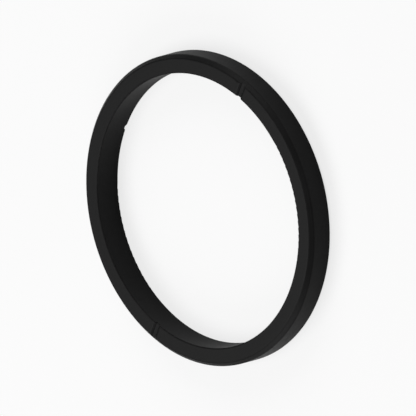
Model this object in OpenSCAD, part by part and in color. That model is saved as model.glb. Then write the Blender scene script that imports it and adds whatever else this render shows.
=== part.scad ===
// Piston seal: an endless elastomer ring of rectangular section that sits in a groove round a piston
// and slides in a round cylinder. It lies on one side face, with its axis along +Z and the centre of
// that face at the origin. All lengths are in millimetres.

/* [Ring] */
// Outside diameter, which runs in the cylinder's bore
outside_d = 80; // [40:0.5:160]
// Radial thickness of the section
section_t = 4.8; // [3.6:0.1:8]
// Width of the ring along its axis
ring_w = 7.6; // [5:0.1:12]

/* [Edges] */
// How far the flat of the 45 degree chamfer between the outside and a side face runs along either
chamfer_run = 0.65; // [0.2:0.05:1]
// Rounding of the chamfer's two edges
chamfer_edge_r = 0.6; // [0.2:0.05:1]
// Rounding where the bore meets each side face
inner_edge_r = 0.3; // [0.1:0.05:0.6]

/* [Pressure notches] */
// Notches across each side face, evenly spaced
notches_per_face = 2; // [1:1:6]
// Depth of a notch below the side face
notch_depth = 0.45; // [0.2:0.05:0.85]
// Width of a notch's flat floor
notch_floor_w = 1; // [0.2:0.05:2]
// Rounding of the shoulders that lead down into a notch, never under its depth
notch_shoulder_r = 0.95; // [0.9:0.05:2]
// How far a notch's end at the bore is eased, at 45 degrees
notch_end_run = 0.3; // [0.1:0.05:0.4]

/* [Hidden] */
outside_r = outside_d / 2;
bore_r = outside_r - section_t;
half_w = ring_w / 2;
// Distance from the sharp outer corner to where the rounding of a chamfer's edge meets the wall
chamfer_reach = chamfer_run + chamfer_edge_r;
// The far face's notches lie midway between those of the near face
notch_pitch = 360 / notches_per_face;
notch_stagger = notch_pitch / 2;
// How far the cutter of a notch passes the ring's walls and faces
cut_past = 1;
// Side to side distance from a notch's floor to where its shoulder meets the face
shoulder_run = sqrt(2 * notch_shoulder_r * notch_depth - pow(notch_depth, 2));
$fn = 180;

// Half of the ring's section, to be turned about the axis: overlapping squares with a disc in each corner
module ring_section() {
    inner_edge = [bore_r + inner_edge_r, half_w - inner_edge_r];
    face_edge = [outside_r - chamfer_reach, half_w - chamfer_edge_r];
    side_edge = [outside_r - chamfer_edge_r, half_w - chamfer_reach];
    translate([inner_edge.x, -half_w]) square([face_edge.x - inner_edge.x, ring_w]);
    translate([bore_r, -inner_edge.y]) square([section_t / 2, 2 * inner_edge.y]);
    translate([outside_r - section_t / 2, -side_edge.y]) square([section_t / 2, 2 * side_edge.y]);
    for (face = [0, 1])
        mirror([0, face]) {
            translate(inner_edge) circle(inner_edge_r);
            translate(face_edge) circle(chamfer_edge_r);
            translate(side_edge) circle(chamfer_edge_r);
            // The chamfer's flat is the far side of this square, level with the tops of two discs
            translate(face_edge) rotate(-45) translate([0, -chamfer_run])
                square([chamfer_run * sqrt(2), chamfer_run + chamfer_edge_r]);
        }
}

// Cross section of a notch: a flat floor between two rounded shoulders, with the side face at y = 0
module notch_section() {
    shoulder_x = notch_floor_w / 2 + shoulder_run;
    difference() {
        translate([-shoulder_x, -notch_depth]) square([2 * shoulder_x, notch_depth + cut_past]);
        for (side = [-1, 1])
            translate([side * shoulder_x, -notch_shoulder_r]) circle(notch_shoulder_r);
    }
}

// All the notches of one side face, cut from the bore to the outside, with that face at z = 0
module face_notches()
    for (i = [0 : notches_per_face - 1])
        rotate(i * notch_pitch) {
            translate([bore_r - cut_past, 0, 0])
                rotate([90, 0, 90])
                    linear_extrude(section_t + 2 * cut_past) notch_section();
            // The end at the bore slopes down at 45 degrees, with the same section
            translate([bore_r + notch_end_run, 0, -notch_depth])
                rotate([0, -45, 0])
                    translate([-cut_past, 0, notch_depth])
                        rotate([90, 0, 90])
                            linear_extrude(2 * cut_past) notch_section();
        }

// The whole seal: the turned ring with its staggered notches
module seal_ring()
    color([0.16, 0.16, 0.165])
        difference() {
            translate([0, 0, half_w]) rotate_extrude() ring_section();
            translate([0, 0, ring_w]) face_notches();
            mirror([0, 0, 1]) rotate(notch_stagger) face_notches();
        }

seal_ring();
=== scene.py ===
"""A black elastomer piston seal lying on a white studio table, seen from above at three quarters."""
import math

import bpy
from mathutils import Matrix, Vector


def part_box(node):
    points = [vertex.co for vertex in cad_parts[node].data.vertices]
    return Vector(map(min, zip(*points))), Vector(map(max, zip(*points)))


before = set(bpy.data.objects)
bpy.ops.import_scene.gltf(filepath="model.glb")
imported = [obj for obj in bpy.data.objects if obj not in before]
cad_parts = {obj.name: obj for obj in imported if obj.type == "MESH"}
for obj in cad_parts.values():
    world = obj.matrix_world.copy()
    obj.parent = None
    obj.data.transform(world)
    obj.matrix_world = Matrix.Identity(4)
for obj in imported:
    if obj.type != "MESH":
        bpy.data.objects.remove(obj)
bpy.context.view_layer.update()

seal_low, seal_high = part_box("seal_ring")
outside_r = (seal_high.x - seal_low.x) / 2
ring_w = seal_high.z - seal_low.z
seal_centre = (seal_low + seal_high) / 2

# The photograph's view of the ring, in degrees: the camera's turn from +X, its height and its roll
camera_turn = -44.7
camera_height = 43.69
camera_roll = 105.3
# The ring's outside radius in the photograph, in pixels of its 416-pixel frame
ring_px = 159.2
frame_px = 416

# The studio round the seal. The lamps stand so far off that the seal is lit alike all round.
table_half = 25 * outside_r
camera_distance = 10 * outside_r
lamp_distance = 45 * outside_r
lamp_width = 30 * outside_r
white = (1.0, 1.0, 1.0, 1.0)


class Value:
    """A shader socket that can be used in arithmetic, each step of which adds a Math node."""

    def __init__(self, nodes, socket):
        self.nodes = nodes
        self.socket = socket

    def _math(self, operation, *values):
        return self.nodes.add("ShaderNodeMath", {"operation": operation}, *values)

    def __add__(self, other):
        return self._math("ADD", self, other)

    __radd__ = __add__

    def __mul__(self, other):
        return self._math("MULTIPLY", self, other)

    __rmul__ = __mul__

    def __sub__(self, other):
        return self._math("SUBTRACT", self, other)

    def __rsub__(self, other):
        return self._math("SUBTRACT", other, self)


class Nodes:
    """The node tree of one material or of the world."""

    def __init__(self, owner):
        owner.use_nodes = True
        self.tree = owner.node_tree
        self.tree.nodes.clear()

    def add(self, kind, settings=None, *values, out=None, **named):
        """Adds a node: its settings first, then what its sockets hold or are linked to."""
        node = self.tree.nodes.new(kind)
        for name, setting in (settings or {}).items():
            setattr(node, name, setting)
        sockets = list(zip(node.inputs, values))
        sockets += [(self.find(node.inputs, name.replace("_", " ")), value) for name, value in named.items()]
        for socket, value in sockets:
            if isinstance(value, Value):
                self.tree.links.new(value.socket, socket)
            else:
                socket.default_value = value
        return Value(self, self.find(node.outputs, out)) if node.outputs else node

    @staticmethod
    def find(sockets, name):
        """The first socket in use that has this name, or any name."""
        return next(socket for socket in sockets if socket.enabled and name in (None, socket.name))


def satin_elastomer():
    """Black moulded elastomer: a satin skin with a fine grain and faint marks of the turned mould."""
    mark_scale = 40 / ring_w
    grain_scale = 70 / ring_w
    patch_scale = 1.2 / ring_w
    skin_relief = ring_w / 4000
    edge_softening = ring_w / 100
    deep_black = (0.005, 0.005, 0.005, 1.0)
    bloomed_black = (0.009, 0.009, 0.0092, 1.0)

    material = bpy.data.materials.new("satin_elastomer")
    nodes = Nodes(material)
    place = nodes.add("ShaderNodeTexCoord", out="Object")
    across = nodes.add("ShaderNodeVectorMath", {"operation": "MULTIPLY"}, place, (1.0, 1.0, 0.0))
    way_round = nodes.add("ShaderNodeVectorMath", {"operation": "NORMALIZE"}, across)
    radius = nodes.add("ShaderNodeVectorMath", {"operation": "LENGTH"}, across, out="Value")
    height = nodes.add("ShaderNodeSeparateXYZ", {}, place, out="Z")

    # Mould marks change fast from one radius or height to the next, and slowly on the way round the ring
    mark_step = nodes.add("ShaderNodeCombineXYZ", {}, 0.0, 0.0, (radius + height) * mark_scale)
    mark_place = nodes.add("ShaderNodeVectorMath", {"operation": "ADD"}, way_round, mark_step)
    marks = nodes.add("ShaderNodeTexNoise", {}, mark_place, Scale=1.0, Detail=2.0)
    grain = nodes.add("ShaderNodeTexNoise", {}, place, Scale=grain_scale, Detail=3.0)
    patches = nodes.add("ShaderNodeTexNoise", {}, place, Scale=patch_scale, Detail=3.0)

    # Edges rub smooth first: there the rounded-over normal leaves the flat one
    edge_normal = nodes.add("ShaderNodeBevel", {"samples": 8}, Radius=edge_softening)
    flat_normal = nodes.add("ShaderNodeNewGeometry", out="Normal")
    edge = 1.0 - nodes.add(
        "ShaderNodeVectorMath", {"operation": "DOT_PRODUCT"}, edge_normal, flat_normal, out="Value",
    )

    skin_height = grain * 0.5 + marks * 0.5
    skin_normal = nodes.add(
        "ShaderNodeBump", {},
        Strength=1.0, Distance=skin_relief, Height=skin_height, Normal=edge_normal,
    )
    roughness = 0.36 + patches * 0.1 + grain * 0.06 + marks * 0.04 - edge * 0.5
    colour = nodes.add("ShaderNodeMix", {"data_type": "RGBA"}, Factor=patches, A=deep_black, B=bloomed_black)
    skin = nodes.add(
        "ShaderNodeBsdfPrincipled", {},
        Base_Color=colour, Roughness=roughness, Normal=skin_normal, Specular_IOR_Level=0.08,
    )
    nodes.add("ShaderNodeOutputMaterial", {}, skin)
    return material


def seen_white(nodes, in_view, in_gloss):
    """How much white the background adds where it is seen in the view, and where gloss or glass shows it."""
    kinds = ("Camera", "Glossy", "Transmission")
    camera, glossy, transmission = (nodes.add("ShaderNodeLightPath", out=f"Is {kind} Ray") for kind in kinds)
    return camera * in_view + (glossy + transmission) * in_gloss


def put_in_scene(name, data):
    """A new object in the scene, with this mesh, lamp or camera."""
    thing = bpy.data.objects.new(name, data)
    bpy.context.scene.collection.objects.link(thing)
    return thing


def facing_seal(turn, height, distance):
    """Where a lamp or camera stands that faces the seal from turn degrees round it and height degrees up."""
    turn, height = math.radians(turn), math.radians(height)
    away = Vector((math.cos(turn) * math.cos(height), math.sin(turn) * math.cos(height), math.sin(height)))
    turned = away.to_track_quat("Z", "Y").to_matrix().to_4x4()
    return Matrix.Translation(seal_centre + away * distance) @ turned


def table_top():
    """Matt white board, much larger than the view."""
    material = bpy.data.materials.new("table_white")
    nodes = Nodes(material)
    board = nodes.add("ShaderNodeBsdfDiffuse", {}, (0.9, 0.9, 0.9, 1.0))
    glow = nodes.add("ShaderNodeEmission", {}, white, 1.0)
    top = nodes.add("ShaderNodeMixShader", {}, seen_white(nodes, in_view=0.75, in_gloss=0.2), board, glow)
    nodes.add("ShaderNodeOutputMaterial", {}, top)
    corners = [(x * table_half, y * table_half, 0) for x, y in ((-1, -1), (1, -1), (1, 1), (-1, 1))]
    mesh = bpy.data.meshes.new("table")
    mesh.from_pydata(corners, [], [(0, 1, 2, 3)])
    mesh.materials.append(material)
    put_in_scene("table", mesh)


def studio_camera():
    """Parallel view, turned, raised and rolled as the photograph's."""
    data = bpy.data.cameras.new("camera")
    data.type = "ORTHO"
    data.ortho_scale = outside_r / ring_px * frame_px
    camera = put_in_scene("camera", data)
    roll = Matrix.Rotation(math.radians(-camera_roll), 4, "Z")
    camera.matrix_world = facing_seal(camera_turn, camera_height, camera_distance) @ roll
    bpy.context.scene.camera = camera


def softbox(name, turn, height, watts):
    """A large round soft lamp that faces the seal from turn degrees round it and height degrees up."""
    data = bpy.data.lights.new(name, "AREA")
    data.shape = "DISK"
    data.size = lamp_width
    data.energy = watts
    put_in_scene(name, data).matrix_world = facing_seal(turn, height, lamp_distance)


def studio_light():
    """Four softboxes round the seal, and dim even surroundings that the camera sees as white."""
    softbox("right_softbox", turn=30, height=25, watts=12.8)
    softbox("back_softbox", turn=150, height=60, watts=17.7)
    softbox("left_softbox", turn=210, height=25, watts=11.9)
    softbox("front_softbox", turn=300, height=60, watts=4.8)
    world = bpy.data.worlds.new("studio")
    bpy.context.scene.world = world
    nodes = Nodes(world)
    strength = 0.1 + seen_white(nodes, in_view=0.86, in_gloss=0.1)
    glow = nodes.add("ShaderNodeBackground", {}, white, strength)
    nodes.add("ShaderNodeOutputWorld", {}, glow)


bpy.context.scene.view_settings.view_transform = "Standard"
studio_camera()
studio_light()
table_top()
elastomer = satin_elastomer()
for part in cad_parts.values():
    part.data.materials.clear()
    part.data.materials.append(elastomer)
